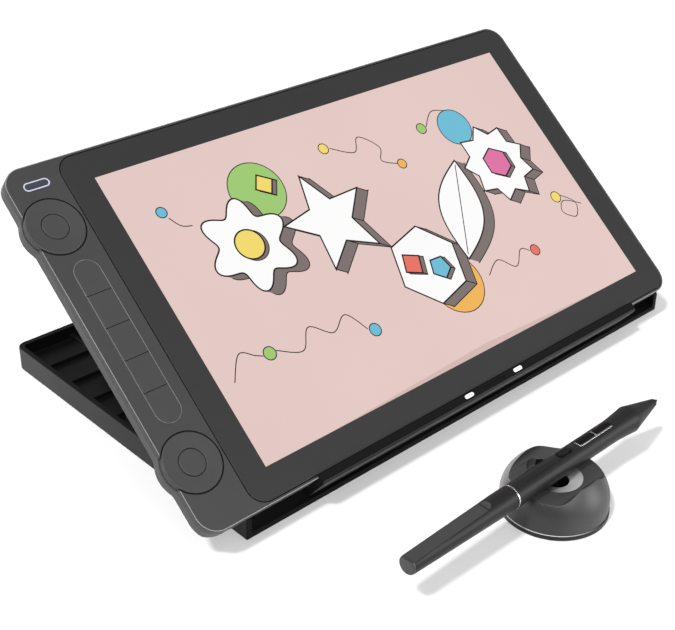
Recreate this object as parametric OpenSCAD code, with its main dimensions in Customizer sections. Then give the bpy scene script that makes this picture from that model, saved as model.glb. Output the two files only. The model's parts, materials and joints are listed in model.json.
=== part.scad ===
// Graphics tablet with screen on a folding desk stand, with its pen and pen holder.
// Millimetres, +Z up. The origin is the centre of the stand's underside, on the desk.
// +X runs along the screen's long side and +Y points away from the user.

/* [Screen] */
// Width of the lit picture area
screen_w = 293.8; // [250:0.2:340]
// Height of the lit picture area
screen_h = 165.2; // [150:0.2:190]
// Black border of the glass on the key side
border_key = 15.1; // [13:0.1:22]
// Black border of the glass on the far side
border_far = 16.6; // [14:0.1:24]
// Black border of the glass above and below
border_edge = 14.9; // [13:0.1:22]
// Thickness of the cover glass
glass_t = 1; // [0.7:0.1:1.3]
// Corner radius of the cover glass
glass_r = 9; // [4:0.5:12]

/* [Tablet body] */
// Width of the key panel beside the glass
panel_w = 30; // [29:0.5:40]
// Rim of the front frame around the glass
rim_w = 1.8; // [1.4:0.1:3]
// Corner radius of the body
body_r = 11; // [8:0.5:14]
// Thickness of the front frame
frame_t = 3.2; // [2.9:0.1:3.6]
// Height of the rear shell's straight wall
wall_h = 5.2; // [5:0.1:7]
// Height of the rear shell's sloped border
slope_h = 4.1; // [3.4:0.1:5]
// How far the sloped border draws in
slope_in = 8; // [5:0.5:9]
// Wall thickness of the rear shell
shell_wall = 2; // [1.6:0.1:2.6]
// Floor thickness of the rear shell
shell_floor = 1.5; // [1.2:0.1:1.8]

/* [Dials] */
// Diameter of a dial
dial_d = 29.8; // [28:0.1:32]
// Height of a dial's rim from its underside to its top
dial_t = 3.2; // [2.8:0.1:3.4]
// How far a dial stands above the frame
dial_rise = 0.5; // [0.2:0.1:1]
// Distance of a dial's centre from the body's outer edge
dial_edge = 13; // [12:0.1:14]
// Distance of a dial's centre from the body's middle line
dial_v = 65; // [62:0.5:68]
// Diameter of the button inside a dial
hub_d = 12.4; // [10:0.1:15]
// Margin of the rear shell's swelling around a dial
swell = 0.7; // [0.6:0.1:3]
// Radius that blends the swelling into the straight edge
blend_r = 10; // [6:0.5:14]

/* [Keys] */
// Number of keys in the strip
key_count = 5; // [5:1:5]
// Width of the key strip
strip_w = 13.6; // [11:0.1:15]
// Length of the key strip
strip_len = 89; // [80:0.5:92]
// Distance of the strip's middle line from the body's outer edge
strip_edge = 15.6; // [14.5:0.1:17]
// How far the keys stand above the frame
key_rise = 0.35; // [0.1:0.05:0.6]
// Length of the mode key's light ring
mode_w = 14; // [12:0.1:16]
// Width of the mode key's light ring
mode_h = 4.7; // [4.4:0.1:6]
// Distance of the mode key from the body's upper edge
mode_edge = 11; // [9:0.1:12]
// Length of the power key
power_len = 12; // [8:0.5:16]

/* [Stand] */
// Width of the base tray
base_w = 329.2; // [310:0.2:350]
// Depth of the base tray
base_d = 206; // [198:0.2:214]
// Height of the base tray
base_h = 14; // [13.4:0.1:14.6]
// Wall thickness of the base tray
base_wall = 3.4; // [3:0.1:4.4]
// Thickness of the tray's floor
floor_t = 3.1; // [2.6:0.1:3.2]
// Rear corner radius of the base tray
base_r = 6; // [3:0.2:9]
// Tilt of the screen above the desk
tilt = 39.4; // [36:0.1:42]
// Distance of the hinge line behind the tray's front
hinge_back = 7.2; // [6.8:0.1:9]
// Height of the hinge line above the desk
hinge_z = 9.05; // [9:0.05:9.6]
// Diameter of the hinge rod
rod_d = 5; // [4:0.1:5.6]
// Width of the support plate and its lip
plate_w = 250.7; // [230:0.1:256]
// Length of the support plate above the hinge line
plate_len = 176; // [172:0.5:180]
// Thickness of the support plate
plate_t = 4; // [3.4:0.1:4.6]
// Thickness of the lip's wall
lip_t = 3.7; // [3:0.1:4.2]
// How far the lip hooks over the screen's lower rim
hook_in = 1.3; // [0.8:0.1:1.6]
// Thickness of the lip's hook
hook_t = 2; // [1.8:0.1:2.6]

/* [Prop] */
// Distance of the prop's pivot from the hinge line
prop_reach = 60; // [56:0.5:64]
// Distance of the prop's pivot behind the hinge plane
prop_drop = 3; // [2.8:0.1:3.4]
// Diameter of the prop's rod
prop_rod_d = 4; // [3:0.1:4.2]
// Thickness of a prop arm
arm_t = 6.5; // [5:0.1:7]
// Depth of a prop arm
arm_h = 8; // [6.5:0.1:8.4]
// Thickness of the rubber on a prop arm's foot
sole_t = 1; // [0.8:0.1:1.4]
// Number of teeth in each ladder of the tray
tooth_count = 5; // [4:1:6]
// Distance from tooth to tooth
tooth_pitch = 21.7; // [19:0.1:22]
// Height of a tooth
tooth_h = 2.8; // [2.2:0.1:3]
// Height of a notch's floor above the tray's floor
notch_h = 2.8; // [2.4:0.1:3.2]
// Distance of the rearmost tooth from the tray's rear wall
tooth_back = 21.3; // [18:0.1:23]

/* [Pen] */
// Length of the pen
pen_len = 188.5; // [180:0.5:196]
// Diameter of the pen's barrel
pen_d = 12; // [11.4:0.1:12.6]
// Diameter of the pen's grip at its widest
grip_d = 14.5; // [13.6:0.1:15.2]
// Diameter of the pen's tail
tail_d = 9.6; // [8.6:0.1:10.6]
// Length of the bare nib
nib_out = 1.3; // [1:0.1:2]
// Distance from the tip to the widest part of the grip
cone_len = 25.5; // [24:0.5:28]
// Distance from the tip to the ring between grip and barrel
ring_at = 118; // [115:0.5:121]
// Width of that ring
ring_w = 1.2; // [0.8:0.1:2]
// Width of a pen button
button_w = 3.2; // [2.6:0.1:3.6]

/* [Pen holder] */
// Diameter of the holder
holder_d = 53.6; // [52:0.2:56]
// Height of the holder's rim
holder_h = 23.2; // [22.4:0.1:24]
// How far the holder draws in from its flank to its rim
rim_draw = 7.6; // [6.8:0.1:8.4]
// Thickness of the two walls beside the pen's saddle, at the rim
ear_t = 0.9; // [0.7:0.1:1.4]
// Height of the pen's axis above the desk when it lies in the holder
pen_z = 24.2; // [23.8:0.1:24.6]
// Diameter of the well that takes the upright pen
well_d = 12.6; // [12:0.1:13.4]
// Distance of the holder to the left of the stand's middle
holder_left = 36.3; // [20:0.1:50]
// Distance of the holder's middle in front of the stand
holder_front = 79.6; // [70:0.2:90]
// Turn of the holder and its pen from the stand's long side
pen_turn = 0.7; // [-6:0.1:6]

/* [Hidden] */
$fn = 64;

// Overlap of joined or cut shapes, so that no face is left between them
eps = 0.02;
// Gap between fixed pieces that slip into each other
fit_gap = 0.1;
// Gap around keys and buttons
key_gap = 0.25;
// Gap around a dial
dial_gap = 0.5;
// Gap between a dial and the button inside it
hub_gap = 0.65;
// Groove around the cover glass
glass_gap = 0.35;
// Radial clearance of a rod that turns in a bore
run_gap = 0.08;
// Gap between the tablet and what carries it
seat_gap = 0.2;

// Tablet: u runs right, v up the screen and w out of it, from the screen's centre
body_left = -(screen_w / 2 + border_key + panel_w);
body_right = screen_w / 2 + border_far + rim_w;
body_w = body_right - body_left;
body_u = (body_left + body_right) / 2;
body_h = screen_h + 2 * (border_edge + rim_w);
body_t = frame_t + wall_h + slope_h;
glass_w = screen_w + border_key + border_far;
glass_h = screen_h + 2 * border_edge;
glass_u = (border_far - border_key) / 2;
wall_w = -(frame_t + wall_h);
shell_in_w = -(body_t - shell_floor);
lower_inset = slope_in + shell_wall;
panel_margin = 1.6;
panel_t = 2;
backlight_t = 1.6;
digitizer_t = 0.8;
shield_t = 0.6;
panel_w0 = -glass_t;
backlight_w0 = panel_w0 - panel_t;
digitizer_w0 = backlight_w0 - backlight_t;
shield_w0 = digitizer_w0 - digitizer_t;
shield_w1 = shield_w0 - shield_t;
rear_foot_h = 0.8;
rear_foot_size = [200, 6];
rear_foot_v = 70;
screw_edge = 11.5;
screw_d = 2;
screw_head_d = 4.4;
screw_head_h = 1.4;
screw_bite = 1.3;
post_r = 2.8;
screw_us = [-(screen_w / 2 + border_key - 6), 0, screen_w / 2 + border_far - 6];
screw_v = body_h / 2 - screw_edge;

// Controls on the key panel
dial_u = body_left + dial_edge;
dial_hole_r = dial_d / 2 + dial_gap;
swell_r = dial_d / 2 + swell;
strip_u = body_left + strip_edge;
key_pitch = strip_len / key_count;
mode_v = body_h / 2 - mode_edge;
light_w = 0.7;
key_t = 2.2;
board_w0 = -(frame_t + 2.8);
board_t = 1.2;
board_size = [24, 2 * (mode_v + 2)];
switch_r = 2.2;
switch_h = 0.9;
plunger_d = 4;
plunger_w = board_w0 + switch_h + 0.8;
dial_under = dial_rise - dial_t;
encoder_r = 8;
encoder_hole_r = 3.6;

// Ports and power key on the edges
edge_w = -(frame_t + wall_h / 2);
socket_size = [9, 3.2];
socket_len = 8;
socket_wall = 0.4;
socket_vs = [62, 46];
socket_floor_w = edge_w - socket_size[1] / 2;
main_board_size = [66, 64];
main_board_v = 50;
power_u = 120;
power_h = 2.4;
power_out = 0.7;
power_flange = 1.4;
power_flange_lip = 1;
power_in = body_h / 2 - shell_wall - 0.3;
power_switch_gap = 0.8;

// Stand
base_lift = 0.3;
floor_z = base_lift + floor_t;
front_y = -base_d / 2;
rear_in_y = base_d / 2 - base_wall;
side_in_x = base_w / 2 - base_wall;
front_chamfer = 2.5;
hinge_y = front_y + hinge_back;
plate_rise = 3.7;
edge_drop = 3.3;
tablet_v = body_h / 2 - edge_drop;
tablet_w = plate_rise + seat_gap + rear_foot_h + body_t;
ring_size = [300, 176];
ring_band = 8;
ring_h = 1.2;
rod_seat = 2.2;
knuckle_r = 5.2;
knuckle_len = 36;
knuckle_xs = [-95, 0, 95];
lip_gap = 0.4;
hook_gap = 0.3;
lip_in_v = -(edge_drop + lip_gap);
lip_out_v = lip_in_v - lip_t;
plate_back_w = plate_rise - plate_t;
lip_r = 3.2;
lip_top_r = 1.8;
hook_w = tablet_w + hook_gap;
hook_top_w = hook_w + hook_t;
hook_v = -(edge_drop - hook_in);
lip_strip_t = 1.1;
lip_strip_v = lip_out_v + lip_top_r;
inlay_size = [6.6, 2.2];
inlay_t = 0.5;
inlay_x = 19.6;
inlay_slot = [17, 1.1];
pad_size = [180, 10];
pad_t = 0.6;
pad_vs = [42, 150];
rib_w = 3;
rib_h = 3;
rib_xs = [-70, 0, 70];

// Prop and its ladders
crest_z = floor_z + notch_h + tooth_h;
notch_z = floor_z + notch_h;
tooth_ys = [for (i = [0 : tooth_count - 1]) rear_in_y - tooth_back - (tooth_count - 1 - i) * tooth_pitch];
ladder_lead = 12;
rib_in_x = plate_w / 2 + 2.6;
ladder_rib = 3;
arm_gap = 2;
arm_x = rib_in_x + ladder_rib + arm_gap;
arm_side_gap = 0.5;
prop_y = hinge_y + prop_reach * cos(tilt) + prop_drop * sin(tilt);
prop_z = hinge_z + prop_reach * sin(tilt) - prop_drop * cos(tilt);
boss_r = 5;
boss_len = 20;
foot_r = arm_h / 2 + sole_t;
foot_tooth = tooth_count - 2;
foot_set = 5.6;
foot_clear = 0.3;
ramp = tooth_h / tooth_pitch;
foot_y = tooth_ys[foot_tooth] - foot_set;
foot_z = notch_z + foot_set * ramp + (foot_r + foot_clear) * sqrt(1 + ramp * ramp);
arm_len = norm([foot_y - prop_y, foot_z - prop_z]);
arm_angle = atan2(foot_z - prop_z, foot_y - prop_y);

// Pen: s runs from the tip to the tail, up is away from the desk
holder_x = -holder_left;
holder_y = front_y - holder_front;
tip_out = 82.8;
pen_r = pen_d / 2;
grip_r = grip_d / 2;
tail_r = tail_d / 2;
nose_r = 1.7;
nib_r = 0.8;
nib_in = 17;
nib_gap = 0.3;
flare_len = 18;
flare_bend = 1.6;
pen_bore_r = 4.2;
spigot_len = 9;
cap_len = 1.5;
ring_proud = 0.1;
barrel_at = ring_at + ring_w;
facet_at = 138;
facet_step = 1.1;
facet_run_r = 6;
facet_drop = 1.6;
button_floor = 3;
button_rise = 0.3;
trim_rise = 0.1;
trim_w = 0.6;
trim_from = 42;
trim_len = 27;
trim_window = (trim_len - 3 * trim_w) / 2;
button_len = trim_window - 2 * key_gap;
front_button_from = trim_from + trim_w + key_gap;
back_button_from = front_button_from + trim_window + trim_w;
top_button_from = 74.3;
top_button_len = 9.6;
coil_r = pen_bore_r - fit_gap;
coil_from = nib_in + 2;
coil_len = 12;
core_end = ring_at - spigot_len - 2;
core_board = [8.2, 1.2];

// Pen holder
holder_r = holder_d / 2;
rim_r = holder_r - rim_draw;
bulge_z = 8;
seam_out = 0.4;
holder_base_h = 2.8;
holder_lift = 0.4;
well_floor_z = 4.4;
saddle_z = pen_z - pen_r - seat_gap;
saddle_w = 2 * (rim_r - ear_t);
saddle_r = 4;
funnel_r = 12.8;
funnel_z = saddle_z - 2;
slot_z = 14.2;
slot_len = 23;
nib_store_r = 14;
nib_store_d = 1.6;
nib_store_z = 1.4;
nib_store_len = 11;
nib_store_count = 10;
store_in_r = 9.4;
store_out_r = 18.4;
store_z = 13;
holder_foot_r = 23;
holder_foot_band = 5;
holder_foot_h = 0.8;

// Rectangle with round corners about its centre
module round_rect(size, r) {
  square([size[0] - 2 * r, size[1]], center = true);
  square([size[0], size[1] - 2 * r], center = true);
  for (sx = [-1, 1], sy = [-1, 1])
    translate([sx * (size[0] / 2 - r), sy * (size[1] / 2 - r)])
      circle(r);
}

// Slot with round ends about its centre, long side along x
module pill(size) {
  square([size[0] - size[1], size[1]], center = true);
  for (sx = [-1, 1])
    translate([sx * (size[0] - size[1]) / 2, 0])
      circle(d = size[1]);
}

// Solid of a flat outline between two heights
module slab(top, bottom) {
  translate([0, 0, bottom])
    linear_extrude(top - bottom)
      children();
}

// Outline in the y-z plane, extruded along x between two places
module along_x(from, to) {
  translate([from, 0, 0])
    rotate([90, 0, 90])
      linear_extrude(to - from)
        children();
}

// Frame of the support plate: origin on the hinge line
module in_plate() {
  translate([0, hinge_y, hinge_z])
    rotate([tilt, 0, 0])
      children();
}

// Frame of the tablet: origin at the screen's centre, on the glass
module in_tablet() {
  in_plate()
    translate([0, tablet_v, tablet_w])
      children();
}

// Frame of the pen: z from the tip to the tail, x up
module in_pen() {
  in_holder()
    translate([tip_out, 0, pen_z])
      rotate([0, -90, 0])
        children();
}

// Frame of the pen holder: origin on the desk
module in_holder() {
  translate([holder_x, holder_y, 0])
    rotate(pen_turn)
      children();
}

// Outline of the tablet's body
module body_outline(inset = 0) {
  translate([body_u, 0])
    round_rect([body_w - 2 * inset, body_h - 2 * inset], max(body_r - inset, 2));
}

// Outline of the cover glass, grown by a gap
module glass_outline(gap = 0) {
  translate([glass_u, 0])
    round_rect([glass_w + 2 * gap, glass_h + 2 * gap], glass_r + gap);
}

// Outline of the display module behind the glass, grown by a gap
module panel_outline(gap = 0) {
  square([screen_w + 2 * (panel_margin + gap), screen_h + 2 * (panel_margin + gap)], center = true);
}

// Repeats a shape at both dials
module at_dials() {
  for (side = [-1, 1])
    at_dial(side)
      children();
}

module at_dial(side) {
  translate([dial_u, side * dial_v, 0])
    children();
}

// Repeats a shape at the screws that hold the rear shell
module at_screws() {
  for (u = screw_us, side = [-1, 1])
    translate([u, side * screw_v, 0])
      children();
}

// Key strip, shrunk by a gap on each side
module strip_outline(gap = 0) {
  translate([strip_u, 0])
    rotate(90)
      pill([strip_len - 2 * gap, strip_w - 2 * gap]);
}

// Mode key's place, shrunk by a gap on each side
module mode_outline(gap = 0) {
  translate([strip_u, mode_v])
    pill([mode_w - 2 * gap, mode_h - 2 * gap]);
}

// Swelling of the rear shell behind a dial, blended into the straight edge
module swelling_outline() {
  reach = sqrt((swell_r + blend_r) ^ 2 - (dial_edge + blend_r) ^ 2);
  touch = (swell_r - fit_gap) / (swell_r + blend_r) * [-(dial_edge + blend_r), reach];
  circle(swell_r);
  difference() {
    polygon([
      [0, reach], [-dial_edge, reach], touch,
      [touch[0], -touch[1]], [-dial_edge, -reach], [0, -reach]
    ]);
    for (side = [-1, 1])
      translate([-(dial_edge + blend_r), side * reach])
        circle(blend_r + eps);
  }
}

// Cross-section that gives the rear shell its sloped border, for a half width
module sloped_section(half) {
  polygon([
    [-half, -frame_t], [half, -frame_t], [half, wall_w],
    [half - slope_in, -body_t], [-half + slope_in, -body_t], [-half, wall_w]
  ]);
}

// Outer form of the rear shell without the swellings
module shell_block() {
  intersection() {
    slab(-frame_t, -body_t)
      body_outline();
    along_x(body_left, body_right)
      sloped_section(body_h / 2);
    translate([body_u, body_h / 2, 0])
      rotate([90, 0, 0])
        linear_extrude(body_h)
          sloped_section(body_w / 2);
  }
}

// Inner space of the rear shell, wide above the sloped border and narrower below
module shell_space() {
  slab(-frame_t + eps, wall_w)
    body_outline(shell_wall);
  slab(wall_w + eps, shell_in_w)
    body_outline(lower_inset);
  at_dials()
    translate([0, 0, wall_w])
      cylinder(r = dial_edge - shell_wall, h = wall_h + eps);
}

module front_frame() {
  color("#4b4b4d")
    in_tablet()
      difference() {
        slab(0, -frame_t)
          body_outline();
        slab(eps, -glass_t)
          glass_outline(glass_gap);
        slab(eps, -frame_t - eps)
          panel_outline(0.4);
        slab(eps, -frame_t - eps)
          strip_outline(-key_gap);
        slab(eps, -frame_t - eps)
          mode_outline(-fit_gap);
        at_dials()
          translate([0, 0, -frame_t - eps])
            cylinder(r = dial_hole_r, h = frame_t + 2 * eps);
        at_screws()
          translate([0, 0, -frame_t - eps])
            cylinder(d = screw_d + 2 * fit_gap, h = screw_bite + 0.2);
      }
}

module rear_shell() {
  color("#56565a")
    in_tablet()
      difference() {
        union() {
          difference() {
            union() {
              shell_block();
              at_dials() {
                slab(-frame_t, wall_w)
                  swelling_outline();
                translate([0, 0, -body_t])
                  cylinder(r1 = swell_r - slope_in, r2 = swell_r, h = slope_h);
              }
            }
            shell_space();
          }
          at_screws()
            translate([0, 0, -body_t])
              cylinder(r = post_r, h = wall_h + slope_h);
          for (u = [-100, 60], side = [-1, 1])
            translate([u, side * 50, -body_t])
              cylinder(r = post_r, h = body_t + shield_w1);
          translate([main_board_u() - main_board_size[0] / 2 + 4, main_board_v, -body_t])
            cylinder(r = post_r, h = slope_h);
          for (side = [-1, 1])
            translate([strip_u, side * 30, -body_t])
              cylinder(r = post_r, h = body_t + board_w0 - board_t);
        }
        at_screws() {
          translate([0, 0, -body_t - eps])
            cylinder(d = screw_head_d + 2 * fit_gap, h = screw_head_h + fit_gap);
          translate([0, 0, -body_t])
            cylinder(d = screw_d + 4 * fit_gap, h = body_t);
        }
        for (v = socket_vs)
          translate([body_right + eps, v, edge_w])
            rotate([0, -90, 0])
              rotate(90)
                linear_extrude(shell_wall + 1)
                  pill(socket_size + [2, 2] * fit_gap);
        translate([power_u, body_h / 2 + eps, edge_w])
          rotate([90, 0, 0])
            linear_extrude(shell_wall + 1)
              pill([power_len, power_h] + [2, 2] * key_gap);
      }
}

function main_board_u() = body_right - shell_wall - fit_gap - main_board_size[0] / 2;

module cover_glass() {
  color("#3a3a3c")
    in_tablet()
      slab(0, -glass_t)
        glass_outline();
}

module lcd_panel() {
  color("#e5cac6")
    in_tablet()
      slab(panel_w0, backlight_w0)
        panel_outline();
}

module backlight() {
  color("white")
    in_tablet()
      slab(backlight_w0, digitizer_w0)
        panel_outline();
}

module digitizer_board() {
  color("seagreen")
    in_tablet()
      slab(digitizer_w0, shield_w0)
        panel_outline();
}

module shield_plate() {
  color("silver")
    in_tablet()
      slab(shield_w0, shield_w1)
        panel_outline();
}

// Board with the sockets and the power switch, on the shell's inner ledge
module main_board() {
  switch_v = power_in - power_flange - power_switch_gap;
  color("darkgreen")
    in_tablet() {
      slab(socket_floor_w, wall_w)
        union() {
          translate([main_board_u(), main_board_v])
            square(main_board_size, center = true);
          translate([power_u - 8, main_board_v])
            square([16, switch_v - main_board_v]);
        }
      translate([power_u - 4, switch_v - 2, socket_floor_w - eps])
        cube([8, 2, edge_w + power_h / 2 - socket_floor_w]);
    }
}

module usb_sockets() {
  color("gainsboro")
    in_tablet()
      for (v = socket_vs)
        translate([body_right - fit_gap, v, edge_w])
          rotate([0, -90, 0])
            rotate(90)
              difference() {
                linear_extrude(socket_len)
                  pill(socket_size);
                translate([0, 0, -eps])
                  linear_extrude(socket_len - 1)
                    pill(socket_size - [2, 2] * socket_wall);
              }
}

module key_board() {
  color("darkgreen")
    in_tablet()
      slab(board_w0, board_w0 - board_t)
        translate([strip_u, 0])
          square(board_size, center = true);
}

// Switches under the keys, the dial buttons and the mode key
module key_switches() {
  color("black")
    in_tablet() {
      for (i = [1 : key_count])
        translate([strip_u, key_v(i), board_w0])
          cylinder(r = switch_r, h = switch_h);
      at_dials()
        translate([0, 0, board_w0])
          cylinder(r = switch_r, h = switch_h);
      translate([strip_u, mode_v, board_w0])
        cylinder(r = switch_r, h = switch_h);
    }
}

// Middle of a key, counted from the top of the strip
function key_v(i) = strip_len / 2 - (i - 0.5) * key_pitch;

module key_cap(i) {
  color("#525255")
    in_tablet() {
      slab(key_rise, key_rise - key_t)
        intersection() {
          strip_outline();
          translate([strip_u, key_v(i)])
            square([strip_w, key_pitch - key_gap], center = true);
        }
      translate([strip_u, key_v(i), plunger_w])
        cylinder(d = plunger_d, h = key_rise - key_t - plunger_w + eps);
    }
}

module mode_key() {
  color("#3c3f4a")
    in_tablet() {
      slab(key_rise / 2, key_rise - key_t)
        mode_outline(light_w + key_gap);
      translate([strip_u, mode_v, plunger_w])
        cylinder(d = mode_h - 2 * light_w - 2 * key_gap, h = key_rise - key_t - plunger_w + eps);
    }
}

module mode_light() {
  color("#9a95c9")
    in_tablet()
      slab(0, -key_t)
        difference() {
          mode_outline();
          mode_outline(light_w);
        }
}

module power_key() {
  color("#525255")
    in_tablet()
      translate([power_u, 0, edge_w]) {
        translate([0, body_h / 2 + power_out, 0])
          rotate([90, 0, 0])
            linear_extrude(body_h / 2 + power_out - power_in + eps)
              pill([power_len, power_h]);
        translate([0, power_in, 0])
          rotate([90, 0, 0])
            linear_extrude(power_flange)
              pill([power_len, power_h] + [2, 2] * power_flange_lip);
      }
}

// Dial ring with a chamfered rim and a shallow dish
module dial(side) {
  rim = 0.5;
  bore = hub_d / 2 + hub_gap;
  color("#4e4e51")
    in_tablet()
      at_dial(side)
        rotate_extrude()
          polygon([
            [bore, dial_under], [dial_d / 2 - rim, dial_under], [dial_d / 2, dial_under + rim],
            [dial_d / 2, dial_rise - rim], [dial_d / 2 - rim, dial_rise],
            [bore + rim / 2, dial_rise - rim / 2], [bore, dial_rise - rim]
          ]);
}

module dial_button(side) {
  rim = 0.3;
  top = dial_rise - 0.2;
  color("#4a4a4d")
    in_tablet()
      at_dial(side)
        rotate_extrude()
          polygon([
            [0, plunger_w], [plunger_d / 2, plunger_w], [plunger_d / 2, top - key_t],
            [hub_d / 2, top - key_t], [hub_d / 2, top - rim], [hub_d / 2 - rim, top], [0, top]
          ]);
}

// Ring encoders that carry the dials, on the key board
module dial_encoders() {
  color("dimgray")
    in_tablet()
      at_dials()
        translate([0, 0, board_w0])
          difference() {
            cylinder(r = encoder_r, h = dial_under - dial_gap - board_w0);
            translate([0, 0, -eps])
              cylinder(r = encoder_hole_r, h = body_t);
          }
}

module rear_feet() {
  color("#202020")
    in_tablet()
      for (side = [-1, 1])
        translate([0, side * rear_foot_v, -body_t - rear_foot_h])
          linear_extrude(rear_foot_h)
            pill(rear_foot_size);
}

module rear_screws() {
  color("silver")
    in_tablet()
      at_screws() {
        translate([0, 0, -body_t])
          cylinder(d = screw_head_d, h = screw_head_h);
        translate([0, 0, -body_t + screw_head_h - eps])
          cylinder(d = screw_d, h = body_t - screw_head_h - frame_t + screw_bite);
      }
}

// Outline of the base tray: square in front, round at the rear
module base_outline(inset = 0) {
  w = base_w - 2 * inset;
  r = max(base_r - inset, 2);
  back = base_d / 2 - inset;
  translate([-w / 2, front_y])
    square([w, back - r - front_y]);
  translate([-w / 2 + r, front_y])
    square([w - 2 * r, back - front_y]);
  for (side = [-1, 1])
    translate([side * (w / 2 - r), back - r])
      circle(r);
}

// Saw-tooth ladder of the tray, upright faces to the front and ramps to the rear
module ladder_profile() {
  start = tooth_ys[0] - ladder_lead;
  below = floor_z - eps;
  polygon(concat(
    [[start, below], [start, notch_z]],
    [for (y = tooth_ys) each [[y, notch_z], [y, crest_z]]],
    [[rear_in_y, notch_z], [rear_in_y + eps, below]]
  ));
}

// Flat ring under the base
module ring_outline(gap = 0) {
  difference() {
    round_rect(ring_size + [2, 2] * gap, 12);
    round_rect(ring_size - [2, 2] * (ring_band + gap), 6);
  }
}

module base_tray() {
  start = tooth_ys[0] - ladder_lead;
  color("#4a4a4c")
    difference() {
      union() {
        difference() {
          intersection() {
            slab(base_h, base_lift)
              base_outline();
            along_x(-base_w / 2, base_w / 2)
              polygon([
                [front_y, base_lift], [front_y, base_h - front_chamfer],
                [front_y + front_chamfer, base_h], [base_d / 2, base_h], [base_d / 2, base_lift]
              ]);
          }
          slab(base_h + eps, floor_z)
            translate([0, -eps])
              base_outline(base_wall);
        }
        for (side = [-1, 1])
          mirror([side < 0 ? 1 : 0, 0, 0]) {
            along_x(rib_in_x + ladder_rib, side_in_x + eps)
              ladder_profile();
            translate([rib_in_x, start, floor_z - eps])
              cube([ladder_rib + eps, rear_in_y - start + eps, crest_z - floor_z + eps]);
          }
      }
      slab(ring_h, base_lift - eps)
        ring_outline(fit_gap);
      translate([-base_w / 2 + base_wall - rod_seat, hinge_y, hinge_z])
        rotate([0, 90, 0])
          cylinder(d = rod_d + 2 * run_gap, h = base_w - 2 * (base_wall - rod_seat));
    }
}

module anti_slip_ring() {
  color("#1c1c1c")
    slab(ring_h, 0)
      ring_outline();
}

module hinge_rod() {
  len = base_w - 2 * (base_wall - rod_seat) - 2 * fit_gap;
  color("#3a3a3c")
    translate([-len / 2, hinge_y, hinge_z])
      rotate([0, 90, 0])
        cylinder(d = rod_d, h = len);
}

// Section of the plate with the lip that hooks over the tablet's lower rim
module plate_section() {
  difference() {
    union() {
      translate([lip_out_v + lip_r, plate_back_w])
        square([plate_len - lip_out_v - lip_r, plate_t]);
      translate([lip_out_v, plate_back_w + lip_r])
        square([lip_t, hook_top_w - lip_top_r - plate_back_w - lip_r]);
      translate([lip_out_v + lip_r, plate_back_w + lip_r])
        circle(lip_r);
      translate([lip_out_v + lip_top_r, hook_w])
        square([hook_v - lip_out_v - lip_top_r, hook_t]);
      translate([lip_out_v + lip_top_r, hook_top_w - lip_top_r])
        circle(lip_top_r);
    }
    translate([lip_strip_v, hook_top_w - lip_strip_t])
      square([hook_v - lip_strip_v + eps, lip_strip_t + eps]);
  }
}

// Repeats a shape at the prop's pivot in the plate's frame
module at_pivot() {
  translate([0, prop_reach, -prop_drop])
    rotate([0, 90, 0])
      children();
}

module support_plate() {
  color("#464648")
    in_plate()
      difference() {
        union() {
          along_x(-plate_w / 2, plate_w / 2)
            plate_section();
          for (x = knuckle_xs)
            translate([x - knuckle_len / 2, 0, 0])
              rotate([0, 90, 0])
                cylinder(r = knuckle_r, h = knuckle_len);
          for (x = rib_xs) {
            translate([x - rib_w / 2, 12, plate_back_w - rib_h])
              cube([rib_w, prop_reach - boss_r - 14, rib_h + eps]);
            translate([x - rib_w / 2, prop_reach + boss_r + 2, plate_back_w - rib_h])
              cube([rib_w, plate_len - prop_reach - boss_r - 8, rib_h + eps]);
          }
          for (side = [-1, 1])
            translate([side * (plate_w - boss_len) / 2, 0, 0])
              at_pivot()
                cylinder(r = boss_r, h = boss_len, center = true);
        }
        rotate([0, 90, 0])
          cylinder(d = rod_d + 2 * run_gap, h = plate_w, center = true);
        at_pivot()
          cylinder(d = prop_rod_d + 2 * run_gap, h = plate_w + 1, center = true);
        for (v = pad_vs)
          translate([0, v, plate_rise - pad_t])
            linear_extrude(pad_t + eps)
              pill(pad_size + [2, 2] * fit_gap);
      }
}

// Dark strip along the top of the lip
module lip_strip() {
  top = hook_top_w;
  depth = hook_v - lip_strip_v;
  mid = (hook_v + lip_strip_v) / 2;
  color("#1c1c1d")
    in_plate()
      difference() {
        translate([-plate_w / 2, lip_strip_v, top - lip_strip_t])
          cube([plate_w, depth, lip_strip_t]);
        for (side = [-1, 1])
          translate([side * inlay_x, mid, top - inlay_t])
            linear_extrude(inlay_t + eps)
              pill(inlay_size + [2, 2] * fit_gap);
        translate([0, mid, top - inlay_t])
          linear_extrude(inlay_t + eps)
            pill(inlay_slot);
      }
}

module lip_inlays() {
  mid = (hook_v + lip_strip_v) / 2;
  color("white")
    in_plate()
      for (side = [-1, 1])
        translate([side * inlay_x, mid, hook_top_w - inlay_t])
          linear_extrude(inlay_t + fit_gap)
            pill(inlay_size);
}

module plate_pads() {
  color("#202021")
    in_plate()
      for (v = pad_vs)
        translate([0, v, plate_rise - pad_t])
          linear_extrude(pad_t)
            pill(pad_size);
}

// Frame of a prop arm: x from the pivot to the foot in the arm's own plane
module in_arm(side) {
  translate([side > 0 ? arm_x : -arm_x - arm_t, prop_y, prop_z])
    rotate([90, 0, 90])
      rotate(arm_angle)
        children();
}

// Side view of a prop arm
module arm_outline() {
  circle(boss_r);
  translate([0, -arm_h / 2])
    square([arm_len, arm_h]);
  translate([arm_len, 0])
    circle(arm_h / 2);
}

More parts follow.
